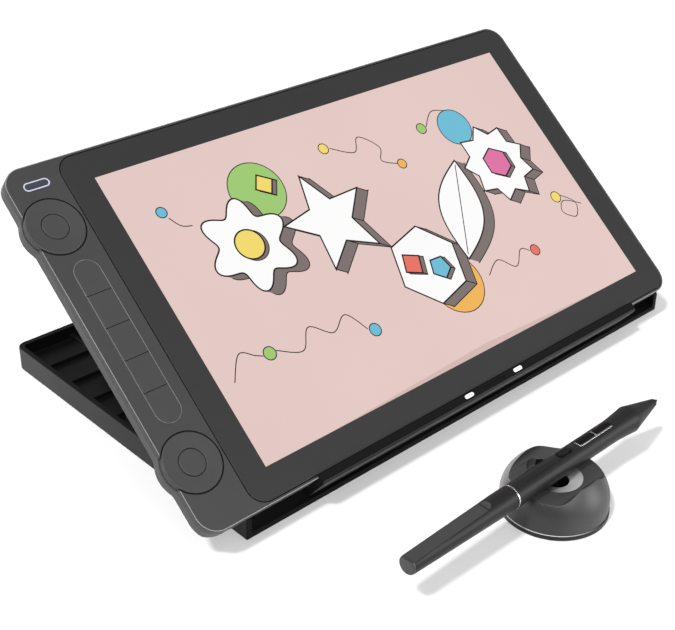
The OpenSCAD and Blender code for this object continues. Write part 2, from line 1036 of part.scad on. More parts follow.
module prop_arms() {
  spacer = arm_x - plate_w / 2 - arm_side_gap;
  color("#3c3c3e")
    for (side = [-1, 1])
      in_arm(side)
        difference() {
          union() {
            linear_extrude(arm_t)
              arm_outline();
            translate([0, 0, side > 0 ? -spacer : arm_t - eps])
              cylinder(r = boss_r, h = spacer + eps);
          }
          translate([0, 0, -spacer - 1])
            cylinder(d = prop_rod_d, h = arm_t + 2 * spacer + 2);
        }
}

module prop_rod() {
  len = 2 * (arm_x + arm_t) - 2 * fit_gap;
  color("silver")
    translate([-len / 2, prop_y, prop_z])
      rotate([0, 90, 0])
        cylinder(d = prop_rod_d, h = len);
}

// Rubber round the foot of each prop arm
module prop_soles() {
  color("#1c1c1c")
    for (side = [-1, 1])
      in_arm(side)
        linear_extrude(arm_t)
          difference() {
            translate([arm_len, 0])
              circle(foot_r);
            arm_outline();
          }
}

// Radius of the pen's front half at a distance from the tip
function grip_radius(s) =
  s < cone_len ? nose_r + (grip_r - nose_r) * (s - nib_out) / (cone_len - nib_out)
  : s < cone_len + flare_len ? pen_r + (grip_r - pen_r) * (1 - (s - cone_len) / flare_len) ^ flare_bend
  : pen_r;

// Solid of revolution of the front half, grown by a distance
module grip_form(grow = 0) {
  steps = 10;
  waist = [for (i = [0 : steps]) cone_len + flare_len * i / steps];
  rotate_extrude()
    polygon(concat(
      [[0, nib_out], [nose_r + grow, nib_out]],
      [for (s = waist) [grip_radius(s) + grow, s]],
      [[pen_r + grow, ring_at], [0, ring_at]]
    ));
}

// Upright prism over the pen's axis, between two distances from the tip
module pen_prism(from, len, width, r) {
  translate([button_floor, 0, from + len / 2])
    rotate([0, 90, 0])
      linear_extrude(grip_r)
        round_rect([len, width], r);
}

module pen_nib() {
  point = 0.5;
  color("#1a1a1a")
    in_pen()
      rotate_extrude()
        polygon([
          [0, 0], [point / 2, 0], [nib_r, 1.2], [nib_r, nib_in], [0, nib_in]
        ]);
}

module pen_grip() {
  color("#2b2b2d")
    in_pen()
      difference() {
        grip_form();
        translate([0, 0, -eps])
          cylinder(r = nib_r + nib_gap, h = nib_in + 1);
        translate([0, 0, nib_in + 0.8])
          cylinder(r = pen_bore_r, h = ring_at);
        pen_prism(trim_from - fit_gap, trim_len + 2 * fit_gap, trim_outer_w() + 2 * fit_gap, 1.6);
        pen_prism(top_button_from, top_button_len, button_w + 2 * key_gap, 1.2);
      }
}

function trim_outer_w() = button_w + 2 * (key_gap + trim_w);

// Bright frame around the two front buttons
module pen_button_trim() {
  color("silver")
    in_pen()
      intersection() {
        grip_form(trim_rise);
        difference() {
          pen_prism(trim_from, trim_len, trim_outer_w(), 1.6);
          for (i = [0, 1])
            translate([-1, 0, 0])
              pen_prism(trim_from + trim_w + i * (trim_window + trim_w), trim_window, button_w + 2 * key_gap, 1.2);
        }
      }
}

module pen_button(from, len) {
  color("#161617")
    in_pen()
      intersection() {
        grip_form(button_rise);
        pen_prism(from, len, button_w, 1);
      }
}

// Bright ring between the grip and the barrel
module pen_ring() {
  color("silver")
    in_pen()
      translate([0, 0, ring_at])
        difference() {
          cylinder(r = pen_r + ring_proud, h = ring_w);
          translate([0, 0, -eps])
            cylinder(r = pen_bore_r, h = ring_w + 2 * eps);
        }
}

// Space above the flat on the pen's rear half
module facet_space() {
  rise = facet_drop + pen_r - tail_r - facet_step;
  run = pen_len - facet_at;
  translate([pen_r - facet_step, 0, facet_at]) {
    rotate([0, -atan2(rise, run), 0])
      translate([0, -pen_d, 0])
        cube([pen_d, 2 * pen_d, run + 20]);
    translate([facet_run_r - eps, 0, 0])
      rotate([90, 0, 0])
        cylinder(r = facet_run_r, h = 2 * pen_d, center = true);
  }
}

module pen_barrel() {
  color("#2d2d2f")
    in_pen()
      difference() {
        rotate_extrude()
          polygon([
            [0, ring_at - spigot_len], [pen_bore_r - fit_gap, ring_at - spigot_len],
            [pen_bore_r - fit_gap, barrel_at], [pen_r, barrel_at],
            [pen_r, facet_at - 10], [tail_r, pen_len - cap_len], [0, pen_len - cap_len]
          ]);
        facet_space();
      }
}

module pen_tail_cap() {
  rim = 0.5;
  color("#3b3b3d")
    in_pen()
      difference() {
        translate([0, 0, pen_len - cap_len])
          rotate_extrude()
            polygon([
              [0, 0], [tail_r - 0.15, 0], [tail_r - 0.15, cap_len - rim],
              [tail_r - 0.15 - rim, cap_len], [0, cap_len]
            ]);
        facet_space();
      }
}

// Coil and board inside the grip
module pen_core() {
  color("peru")
    in_pen() {
      translate([0, 0, coil_from])
        cylinder(r = coil_r, h = coil_len);
      translate([-core_board[1] / 2, -core_board[0] / 2, coil_from + coil_len - eps])
        cube([core_board[1], core_board[0], core_end - coil_from - coil_len]);
    }
}

// Dome with a saddle for the lying pen, and a funnel and a well for the upright one
module holder_dome() {
  steps = 10;
  rise = holder_h - bulge_z;
  flank = [for (i = [0 : steps]) [holder_r - rim_draw * (i / steps) ^ 2, bulge_z + rise * i / steps]];
  color("#454547")
    in_holder()
      difference() {
        rotate_extrude()
          polygon(concat([[0, holder_base_h], [holder_r, holder_base_h]], flank, [[0, holder_h]]));
        translate([-holder_r, 0, saddle_z + holder_h / 2])
          rotate([90, 0, 90])
            linear_extrude(holder_d)
              round_rect([saddle_w, holder_h], saddle_r);
        rotate_extrude()
          polygon([
            [0, funnel_z], [well_d / 2, funnel_z], [funnel_r, saddle_z], [funnel_r, holder_h], [0, holder_h]
          ]);
        translate([0, 0, well_floor_z])
          cylinder(d = well_d, h = holder_h);
        translate([0, (slot_len - well_d) / 2, slot_z])
          rotate(90)
            linear_extrude(holder_h)
              pill([slot_len, well_d]);
        rotate_extrude()
          translate([store_in_r, holder_base_h - eps])
            square([store_out_r - store_in_r, store_z - holder_base_h]);
      }
}

module holder_base() {
  color("#343436")
    in_holder()
      difference() {
        translate([0, 0, holder_lift])
          cylinder(r = holder_r + seam_out, h = holder_base_h - holder_lift);
        translate([0, 0, holder_lift - eps])
          holder_ring(holder_foot_h - holder_lift + eps, fit_gap);
        at_spare_nibs()
          cylinder(d = nib_store_d + 2 * fit_gap, h = holder_base_h);
      }
}

// Flat ring under the holder
module holder_ring(h, gap = 0) {
  difference() {
    cylinder(r = holder_foot_r + gap, h = h);
    translate([0, 0, -eps])
      cylinder(r = holder_foot_r - holder_foot_band - gap, h = h + 2 * eps);
  }
}

module holder_foot() {
  color("#1c1c1c")
    in_holder()
      holder_ring(holder_foot_h);
}

// Repeats a shape at the places of the spare nibs
module at_spare_nibs() {
  for (i = [0 : nib_store_count - 1])
    rotate(360 * i / nib_store_count)
      translate([nib_store_r, 0, nib_store_z])
        children();
}

module spare_nibs() {
  color("#1a1a1a")
    in_holder()
      at_spare_nibs() {
        cylinder(d = nib_store_d, h = nib_store_len - 1);
        translate([0, 0, nib_store_len - 1 - eps])
          cylinder(d1 = nib_store_d, d2 = nib_store_d / 2, h = 1);
      }
}

base_tray();
anti_slip_ring();
hinge_rod();
support_plate();
lip_strip();
lip_inlays();
plate_pads();
prop_arms();
prop_rod();
prop_soles();
front_frame();
rear_shell();
cover_glass();
lcd_panel();
backlight();
digitizer_board();
shield_plate();
main_board();
usb_sockets();
key_board();
key_switches();
key_cap(1);  // key_1
key_cap(2);  // key_2
key_cap(3);  // key_3
key_cap(4);  // key_4
key_cap(5);  // key_5
mode_key();
mode_light();
power_key();
dial(1);  // dial_upper
dial(-1);  // dial_lower
dial_button(1);  // dial_button_upper
dial_button(-1);  // dial_button_lower
dial_encoders();
rear_feet();
rear_screws();
pen_nib();
pen_grip();
pen_ring();
pen_barrel();
pen_tail_cap();
pen_core();
pen_button(front_button_from, button_len);  // pen_button_front
pen_button(back_button_from, button_len);  // pen_button_back
pen_button(top_button_from + key_gap, top_button_len - 2 * key_gap);  // pen_button_top
pen_button_trim();
holder_dome();
holder_base();
holder_foot();
spare_nibs();
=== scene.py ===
import json
import math

import bmesh
import bpy
from mathutils import Matrix, Vector


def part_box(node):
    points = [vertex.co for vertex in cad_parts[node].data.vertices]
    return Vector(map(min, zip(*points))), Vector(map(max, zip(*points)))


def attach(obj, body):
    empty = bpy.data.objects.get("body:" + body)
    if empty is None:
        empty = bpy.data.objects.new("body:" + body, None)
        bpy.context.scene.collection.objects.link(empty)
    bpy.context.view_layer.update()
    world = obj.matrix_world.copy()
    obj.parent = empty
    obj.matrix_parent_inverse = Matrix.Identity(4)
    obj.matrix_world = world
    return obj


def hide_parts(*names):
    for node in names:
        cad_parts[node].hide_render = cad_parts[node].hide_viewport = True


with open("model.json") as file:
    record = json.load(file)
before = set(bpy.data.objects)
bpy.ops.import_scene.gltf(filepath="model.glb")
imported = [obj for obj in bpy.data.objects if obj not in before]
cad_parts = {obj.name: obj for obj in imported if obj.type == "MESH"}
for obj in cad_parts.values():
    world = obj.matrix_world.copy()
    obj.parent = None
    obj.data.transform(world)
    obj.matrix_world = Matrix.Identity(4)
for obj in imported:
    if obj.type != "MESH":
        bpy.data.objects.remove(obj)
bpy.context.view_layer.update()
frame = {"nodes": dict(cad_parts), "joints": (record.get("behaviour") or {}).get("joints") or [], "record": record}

MM = 0.001
nodes = frame["nodes"]
joints = {joint["name"]: joint for joint in frame["joints"]}
body_of_node = {
    node: body
    for body, members in frame["record"]["behaviour"]["bodies"].items()
    for node in members
}
slot_of_node = {part["node"]: part["material_slot"] for part in frame["record"]["subparts"]}


# Tablet frame: u to the right, v up the screen, w out of it, from the screen's centre
V_AXIS = Vector(joints["tablet_lift"]["axis"])
W_AXIS = -Vector(joints["key_1_press"]["axis"])
TILT = Matrix((Vector((1, 0, 0)), V_AXIS, W_AXIS)).transposed()


def tilted_box(node):
    """Lowest and highest corner of a CAD node along u, v and w."""
    points = [TILT.transposed() @ vertex.co for vertex in nodes[node].data.vertices]
    return (
        Vector([min(p[i] for p in points) for i in range(3)]),
        Vector([max(p[i] for p in points) for i in range(3)]),
    )


# Border of the display panel around its lit area
PANEL_MARGIN = 1.6
PANEL_LOW, PANEL_HIGH = tilted_box("lcd_panel")
GLASS_TOP = tilted_box("cover_glass")[1].z
SCREEN_CENTRE = Vector((
    (PANEL_LOW.x + PANEL_HIGH.x) / 2,
    (PANEL_LOW.y + PANEL_HIGH.y) / 2,
    GLASS_TOP,
))
TABLET = Matrix.Translation(TILT @ SCREEN_CENTRE) @ TILT.to_4x4()


# Camera, as solved from the photo
CAMERA_PLACE = Vector((-0.4518, -0.46516, 0.39012))
CAMERA_VIEW = Vector((0.59543635, 0.62807384, -0.50097784))
CAMERA_RIGHT = Vector((0.73117703, -0.68204487, 0.01396238))
CAMERA_LENS = 67.43


def make_camera():
    camera = bpy.data.objects.new("camera", bpy.data.cameras.new("camera"))
    camera.data.sensor_width = 36
    camera.data.lens = CAMERA_LENS
    back = -CAMERA_VIEW.normalized()
    right = CAMERA_RIGHT.normalized()
    turn = Matrix((right, back.cross(right), back)).transposed()
    camera.matrix_world = Matrix.Translation(CAMERA_PLACE) @ turn.to_4x4()
    bpy.context.scene.collection.objects.link(camera)
    bpy.context.scene.camera = camera


make_camera()


# Materials

# Scale and depth of the fine grain, and the part of a noise's range that is used
GRAIN = 2600
GRAIN_DEPTH = 0.1 * MM
NOISE_LOW, NOISE_HIGH = 0.3, 0.7


def linear(colour):
    """An sRGB colour from 0 to 255 as linear values, with full alpha."""
    def channel(c):
        c /= 255
        return c / 12.92 if c <= 0.04045 else ((c + 0.055) / 1.055) ** 2.4
    return (*map(channel, colour), 1.0)


def shaded(colour, factor):
    return tuple(min(255, c * factor) for c in colour)


class Tree:
    """Short calls for building one material's nodes."""

    def __init__(self, name):
        self.material = bpy.data.materials.new(name)
        self.material.use_nodes = True
        self.tree = self.material.node_tree
        self.shader = self.tree.nodes["Principled BSDF"]
        self.place = self.tree.nodes.new("ShaderNodeTexCoord").outputs["Object"]

    def link(self, source, target):
        self.tree.links.new(source, target)

    def set(self, **values):
        for key, value in values.items():
            self.shader.inputs[key.replace("_", " ")].default_value = value

    def noise(self, scale, detail=2.0):
        node = self.tree.nodes.new("ShaderNodeTexNoise")
        node.inputs["Scale"].default_value = scale
        node.inputs["Detail"].default_value = detail
        self.link(self.place, node.inputs["Vector"])
        return node.outputs["Fac"]

    def ramp(self, value, low, high):
        node = self.tree.nodes.new("ShaderNodeMapRange")
        node.inputs["From Min"].default_value = NOISE_LOW
        node.inputs["From Max"].default_value = NOISE_HIGH
        node.inputs["To Min"].default_value = low
        node.inputs["To Max"].default_value = high
        self.link(value, node.inputs["Value"])
        return node.outputs["Result"]

    def blend(self, value, first, second):
        node = self.tree.nodes.new("ShaderNodeValToRGB")
        node.color_ramp.elements[0].position = NOISE_LOW
        node.color_ramp.elements[0].color = first
        node.color_ramp.elements[1].position = NOISE_HIGH
        node.color_ramp.elements[1].color = second
        self.link(value, node.inputs["Fac"])
        return node.outputs["Color"]

    def vector(self, operation, first, second=(0, 0, 0)):
        node = self.tree.nodes.new("ShaderNodeVectorMath")
        node.operation = operation
        node.inputs[1].default_value = second
        self.link(first, node.inputs[0])
        return node.outputs["Value" if operation == "DOT_PRODUCT" else "Vector"]

    def shades(self, value, stops):
        """Base colour from stops of grey along a value from -1 to 1."""
        share = self.tree.nodes.new("ShaderNodeMath")
        share.operation = "MULTIPLY_ADD"
        share.inputs[1].default_value = 0.5
        share.inputs[2].default_value = 0.5
        self.link(value, share.inputs[0])
        tint = self.tree.nodes.new("ShaderNodeValToRGB")
        tint.color_ramp.interpolation = "EASE"
        while len(tint.color_ramp.elements) < len(stops):
            tint.color_ramp.elements.new(0.5)
        for element, (place, grey) in zip(tint.color_ramp.elements, stops):
            element.position = place / 2 + 0.5
            element.color = linear((grey, grey, grey + 1))
        self.link(share.outputs["Value"], tint.inputs["Fac"])
        self.link(tint.outputs["Color"], self.shader.inputs["Base Color"])

    def satin(self, roughness, shine=0.5):
        """Fine grain in relief and gloss."""
        spread = 0.04
        self.set(Specular_IOR_Level=shine)
        fine = self.noise(GRAIN, 3.0)
        self.link(self.ramp(fine, roughness - spread, roughness + spread), self.shader.inputs["Roughness"])
        self.bump(fine, 0.1, GRAIN_DEPTH)

    def bump(self, value, strength, distance):
        node = self.tree.nodes.new("ShaderNodeBump")
        node.inputs["Strength"].default_value = strength
        node.inputs["Distance"].default_value = distance
        self.link(value, node.inputs["Height"])
        self.link(node.outputs["Normal"], self.shader.inputs["Normal"])


def moulded(
    name, colour, roughness, shine=0.5, grain=GRAIN, relief=0.12, cloud=0.05, spread=0.05, metallic=0.0,
):
    """Moulded or cast surface: fine grain in relief and gloss, and faint clouds in its colour."""
    tree = Tree(name)
    tree.set(Metallic=metallic, Specular_IOR_Level=shine)
    fine = tree.noise(grain, 3.0)
    broad = tree.noise(22, 3.0)
    tint = tree.blend(broad, linear(shaded(colour, 1 - cloud)), linear(shaded(colour, 1 + cloud)))
    tree.link(tint, tree.shader.inputs["Base Color"])
    tree.link(tree.ramp(fine, roughness - spread, roughness + spread), tree.shader.inputs["Roughness"])
    tree.bump(fine, relief, GRAIN_DEPTH)
    return tree.material


def drawn_ink(name, colour):
    """One colour of the lit picture, with the faint unevenness of a backlight."""
    tree = Tree(name)
    tree.set(Base_Color=(0.0, 0.0, 0.0, 1.0), Roughness=0.5, Specular_IOR_Level=0.05, Emission_Strength=1.0)
    glow = tree.blend(tree.noise(9, 1.0), linear(shaded(colour, 0.99)), linear(shaded(colour, 1.005)))
    tree.link(glow, tree.shader.inputs["Emission Color"])
    return tree.material


MATERIALS = {
    "frame_plastic": moulded("frame_plastic", (47, 47, 48), 0.5),
    "shell_plastic": moulded("shell_plastic", (57, 57, 59), 0.45),
    "glass": moulded("bezel_glass", (33, 33, 34), 0.42, grain=5200, relief=0.03, cloud=0.03),
    "key_plastic": moulded("key_plastic", (50, 50, 51), 0.5),
    "display": moulded("display", (200, 176, 173), 0.3),
    "diffuser": moulded("diffuser", (235, 235, 232), 0.5),
    "circuit_board": moulded("circuit_board", (24, 88, 52), 0.4, cloud=0.2),
    "switch_plastic": moulded("switch_plastic", (30, 30, 31), 0.45),
    "light_guide": moulded("light_guide", (184, 184, 206), 0.3, cloud=0.03),
    "steel": moulded("steel", (170, 170, 173), 0.3, metallic=1.0, cloud=0.08),
    "stand_plastic": moulded("stand_plastic", (15, 15, 16), 0.42, shine=0.22),
    "rubber": moulded("rubber", (9, 9, 9), 0.75, shine=0.12, grain=1800, relief=0.25),
    "inlay_white": moulded("inlay_white", (238, 238, 238), 0.5, cloud=0.02),
    "pen_plastic": moulded("pen_plastic", (31, 31, 32), 0.4, shine=0.2),
    "pen_black": moulded("pen_black", (7, 7, 7), 0.4, shine=0.16),
    "bright_trim": moulded("bright_trim", (215, 215, 218), 0.18, metallic=1.0, cloud=0.03, spread=0.03),
    # Painted nearly black as shade, because it shows in the gap round the pen's top button
    "coil_copper": moulded("coil_copper", (7, 6, 6), 0.5, shine=0.15, cloud=0.15),
    "holder_plastic": moulded("holder_plastic", (44, 44, 45), 0.36),
}
MODE_KEY = moulded("mode_key", (44, 47, 60), 0.45)
# Near black, painted shade for the tray's inside, rim and front
TRAY_PAINTED_SHADE = moulded("tray_painted_shade", (7, 7, 7), 0.55, shine=0.1)


# CAD nodes: every node takes its slot's material, and what shows gets softened edges

SOFT_EDGES = {
    "front_frame": 0.3, "rear_shell": 0.4, "cover_glass": 0.25,
    "key_1": 0.25, "key_2": 0.25, "key_3": 0.25, "key_4": 0.25, "key_5": 0.25,
    "mode_key": 0.15, "mode_light": 0.08, "power_key": 0.25,
    "dial_upper": 0.15, "dial_lower": 0.15, "dial_button_upper": 0.1, "dial_button_lower": 0.1,
    "rear_feet": 0.2, "rear_screws": 0.15, "usb_sockets": 0.08,
    "base_tray": 0.5, "anti_slip_ring": 0.15, "support_plate": 0.4, "lip_strip": 0.15,
    "lip_inlays": 0.05, "plate_pads": 0.05, "prop_arms": 0.5, "prop_soles": 0.2,
    "pen_nib": 0.1, "pen_grip": 0.12, "pen_barrel": 0.2, "pen_tail_cap": 0.15, "pen_ring": 0.08,
    "pen_button_front": 0.2, "pen_button_back": 0.2, "pen_button_top": 0.2, "pen_button_trim": 0.08,
    "holder_dome": 0.35, "holder_base": 0.12, "holder_foot": 0.1,
}
SHARP_ANGLE = math.radians(28)
FLAT_ANGLE = math.radians(0.4)
MERGE_REACH = 0.001 * MM
# Least share of a normal along a way, for a face that looks that way roughly or fully
FACING = 0.5
FACING_FULLY = 0.9


def put_on(piece, material):
    piece.data.materials.clear()
    piece.data.materials.append(material)


def softened(node, width):
    """A copy of a CAD node with its edges rounded, which stands for it."""
    mesh = bpy.data.meshes.new(f"{node}_soft")
    form = bmesh.new()
    form.from_mesh(nodes[node].data)
    bmesh.ops.remove_doubles(form, verts=form.verts, dist=MERGE_REACH)
    bmesh.ops.dissolve_limit(form, angle_limit=FLAT_ANGLE, verts=form.verts, edges=form.edges)
    for face in form.faces:
        face.smooth = True
        face.material_index = 0
    form.to_mesh(mesh)
    form.free()
    mesh.set_sharp_from_angle(angle=SHARP_ANGLE)
    piece = bpy.data.objects.new(f"{node}_soft", mesh)
    bpy.context.scene.collection.objects.link(piece)
    edge = piece.modifiers.new("soft_edge", "BEVEL")
    edge.width = width * MM
    edge.segments = 3
    edge.limit_method = "ANGLE"
    edge.angle_limit = SHARP_ANGLE
    edge.use_clamp_overlap = False
    edge.harden_normals = True
    put_on(piece, MATERIALS[slot_of_node[node]])
    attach(piece, body_of_node[node])
    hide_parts(node)
    return piece


for name, item in nodes.items():
    put_on(item, MATERIALS[slot_of_node[name]])
soft = {name: softened(name, width) for name, width in SOFT_EDGES.items()}


def tray_side_painted_shadow():
    """Grey plastic with a painted shadow: it darkens towards the front, where the tablet's corner shades it."""
    tree = Tree("tray_side_painted_shadow")
    tree.satin(0.5, 0.25)
    decimetres = (0, 10, 0)
    # Painted shadow: darker stops towards the front
    stops = ((-0.6, 8), (-0.2, 23), (0.3, 37), (0.95, 52))
    tree.shades(tree.vector("DOT_PRODUCT", tree.place, decimetres), stops)
    return tree.material


def paint_tray_shade(tray):
    """Painted shade on the tray: grey outer sides, while its inside, rim and front are painted black as shade."""
    put_on(tray, TRAY_PAINTED_SHADE)
    tray.data.materials.append(tray_side_painted_shadow())
    half_w = max(vertex.co.x for vertex in tray.data.vertices)
    rear = max(vertex.co.y for vertex in tray.data.vertices)
    reach = 4 * MM
    for face in tray.data.polygons:
        middle, normal = face.center, face.normal
        side = abs(normal.x) > FACING and abs(middle.x) > half_w - reach and normal.x * middle.x > 0
        back = normal.y > FACING and middle.y > rear - reach
        face.material_index = int(side or back)


def widened(button, grow):
    """Widens a dial's button, so that only a fine line shows around it."""
    low, high = [Vector(f(v.co[i] for v in button.data.vertices) for i in range(3)) for f in (min, max)]
    middle = (low + high) / 2
    radius = (high.x - low.x) / 2
    for vertex in button.data.vertices:
        arm = vertex.co - middle
        vertex.co += (arm - W_AXIS * arm.dot(W_AXIS)) * grow * MM / radius


paint_tray_shade(soft["base_tray"])
for name in ("dial_button_upper", "dial_button_lower"):
    widened(soft[name], 0.42)
put_on(soft["mode_key"], MODE_KEY)


# Pen holder
HOLDER_AXIS = (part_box("holder_base")[0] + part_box("holder_base")[1]) / 2
FUNNEL_RADIUS = 12.8 * MM
WELL_RADIUS = 6.3 * MM


def from_holder_axis(place):
    return (place - HOLDER_AXIS).to_2d()


def painted_light_round_axis(name, stops, facing, roughness=0.34):
    """Satin plastic with painted light and shade, chosen by its side of the holder's axis; 1 is the facing side.
    """
    tree = Tree(name)
    tree.satin(roughness)
    level = tree.vector("MULTIPLY", tree.vector("SUBTRACT", tree.place, HOLDER_AXIS), (1, 1, 0))
    tree.shades(tree.vector("DOT_PRODUCT", tree.vector("NORMALIZE", level), Vector(facing).normalized()), stops)
    return tree.material


def paint_dome_light_and_shade(dome):
    """Painted light and shade on the dome: a painted highlight on the far-left flank, a painted glow on the
    near-right flank, a painted reflection on the near funnel with painted shade on its far side, a saddle painted
    lighter as if lit, and a well painted black as shade.
    """
    flank_painted_light = ((-1.0, 58), (-0.85, 54), (-0.4, 35), (0.55, 35), (1.0, 168))
    leans_out, leans_in = 0.3, -0.05
    # Painted highlight on the far-left flank and painted glow on the near-right flank
    put_on(dome, painted_light_round_axis("holder_flank", flank_painted_light, (-0.25, 0.97, 0), 0.42))
    # Saddle painted lighter as if lit; funnel with painted reflection and shade; well painted black as shade
    dome.data.materials.append(moulded("holder_saddle", (58, 58, 59), 0.45))
    dome.data.materials.append(painted_light_round_axis("holder_funnel", ((0.1, 20), (1.0, 172)), (0.1, -1, 0)))
    dome.data.materials.append(moulded("holder_well", (10, 10, 10), 0.6, shine=0.2))
    flank, saddle, funnel, well = range(4)
    for face in dome.data.polygons:
        arm = from_holder_axis(face.center)
        outward = arm.normalized().dot(face.normal.to_2d())
        upward = face.normal.z > FACING
        if outward > leans_out and arm.length > FUNNEL_RADIUS:
            face.material_index = flank
        elif arm.length < FUNNEL_RADIUS and outward < leans_in and upward:
            face.material_index = funnel
        elif upward or arm.length > FUNNEL_RADIUS + WELL_RADIUS / 2:
            face.material_index = saddle
        else:
            face.material_index = well


def base_with_painted_ledge_highlight(base):
    """Painted highlight on the ledge under the dome, brightest towards the left front, on a dark base."""
    put_on(base, moulded("holder_base", (17, 17, 18), 0.42, shine=0.35))
    base.data.materials.append(painted_light_round_axis("holder_ledge", ((0.1, 50), (0.9, 215)), (-1.2, -0.25, 0)))
    top = max(vertex.co.z for vertex in base.data.vertices)
    for face in base.data.polygons:
        face.material_index = int(face.normal.z > FACING_FULLY and face.center.z > top - 0.1 * MM)


paint_dome_light_and_shade(soft["holder_dome"])
base_with_painted_ledge_highlight(soft["holder_base"])


# Pen
PEN_WAY = -Vector(joints["pen_nib_press"]["axis"]).normalized()
PEN_MIDDLE = (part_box("pen_ring")[0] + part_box("pen_ring")[1]) / 2
PEN_SIDE = Vector((0, 0, 1)).cross(PEN_WAY)


def from_pen_ring(place):
    """A place's distance along the pen from the ring, and its arm from the pen's axis."""
    arm = place - PEN_MIDDLE
    along = arm.dot(PEN_WAY)
    return along, arm - PEN_WAY * along


def barrel_with_painted_light(barrel):
    """Painted light: the flat on the rear half and the slope that runs into it face up, and are painted paler, as
    lit from above.
    """
    barrel.data.materials.append(moulded("pen_flat", (60, 60, 61), 0.4, shine=0.25))
    least_slope, most_slope, slope_upward = 0.08, 0.95, 0.8
    flat_reach = 0.78 * (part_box("pen_ring")[1].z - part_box("pen_ring")[0].z) / 2
    for face in barrel.data.polygons:
        arm = from_pen_ring(face.center)[1]
        run_in = least_slope < abs(face.normal.dot(PEN_WAY)) < most_slope and face.normal.z > slope_upward
        flat = face.normal.z > FACING_FULLY and arm.length < flat_reach
        face.material_index = int(run_in or flat)


def dress_trim(trim):
    """Bright front rail, divider and rear end; the far rail and the front end lie in shade."""
    trim.data.materials.append(moulded("trim_shade", (64, 64, 66), 0.3, metallic=1.0))
    rail = 1.0 * MM
    front_end = max((vertex.co - PEN_MIDDLE).dot(PEN_WAY) for vertex in trim.data.vertices) - rail
    far_rail = max((vertex.co - PEN_MIDDLE).dot(PEN_SIDE) for vertex in trim.data.vertices) - rail
    for face in trim.data.polygons:
        arm = face.center - PEN_MIDDLE
        face.material_index = int(arm.dot(PEN_WAY) > front_end or arm.dot(PEN_SIDE) > far_rail)


def narrowed(ring, share):
    """Draws the ring in along the pen, so that a dark groove shows on both its sides."""
    for vertex in ring.data.vertices:
        vertex.co -= PEN_WAY * from_pen_ring(vertex.co)[0] * (1 - share)


def blunted(grip, cut, widening):
    """Sets the nose's end back along its cone."""
    end, hole_radius = 0.4 * MM, 1.3 * MM
    tip = max(from_pen_ring(vertex.co)[0] for vertex in grip.data.vertices)
    for vertex in grip.data.vertices:
        along, arm = from_pen_ring(vertex.co)
        if along > tip - end:
            vertex.co -= PEN_WAY * cut * MM
            if arm.length > hole_radius:
                vertex.co += arm.normalized() * widening * MM


def drawn_out(nib, reach):
    """Lets the nib's point stand further out of the nose."""
    point = 2 * MM
    tip = max(from_pen_ring(vertex.co)[0] for vertex in nib.data.vertices)
    for vertex in nib.data.vertices:
        if from_pen_ring(vertex.co)[0] > tip - point:
            vertex.co += PEN_WAY * reach * MM


def drawn_in(button, gap):
    """Draws a button in from its opening, so that a dark gap shows around it."""
    for way in (PEN_WAY, PEN_SIDE):
        places = [vertex.co.dot(way) for vertex in button.data.vertices]
        middle = (min(places) + max(places)) / 2
        share = 2 * gap * MM / (max(places) - min(places))
        for vertex in button.data.vertices:
            vertex.co -= way * (vertex.co.dot(way) - middle) * share


barrel_with_painted_light(soft["pen_barrel"])
dress_trim(soft["pen_button_trim"])
narrowed(soft["pen_ring"], 0.6)
drawn_in(soft["pen_button_top"], 0.45)
blunted(soft["pen_grip"], 1.2, 0.36)
drawn_out(soft["pen_nib"], 0.8)
put_on(soft["pen_tail_cap"], moulded("pen_tail", (48, 48, 49), 0.4))
put_on(soft["pen_button_top"], moulded("top_button", (23, 23, 24), 0.4, shine=0.2))


def place_flat(name, mesh, material, body):
    """A small flat piece that rides on a body."""
    piece = bpy.data.objects.new(name, mesh)
    put_on(piece, material)
    bpy.context.scene.collection.objects.link(piece)
    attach(piece, body)


# Lit picture on the screen, in millimetres from the screen's centre

INKS = {
    "paper": (229, 202, 198), "white": (253, 252, 252), "side": (128, 116, 114), "line": (36, 31, 33),
    "yellow": (243, 219, 112), "green": (160, 203, 118), "blue": (112, 190, 214), "coral": (232, 118, 104),
    "orange": (240, 182, 92), "rose": (222, 118, 166), "lip_reflection": (214, 186, 182),
}
PICTURE_LIFT = 0.02
LAYER = 0.004
# Least cosine of half a bend, which keeps a mitre from running out too far
MITRE_LIMIT = 0.35


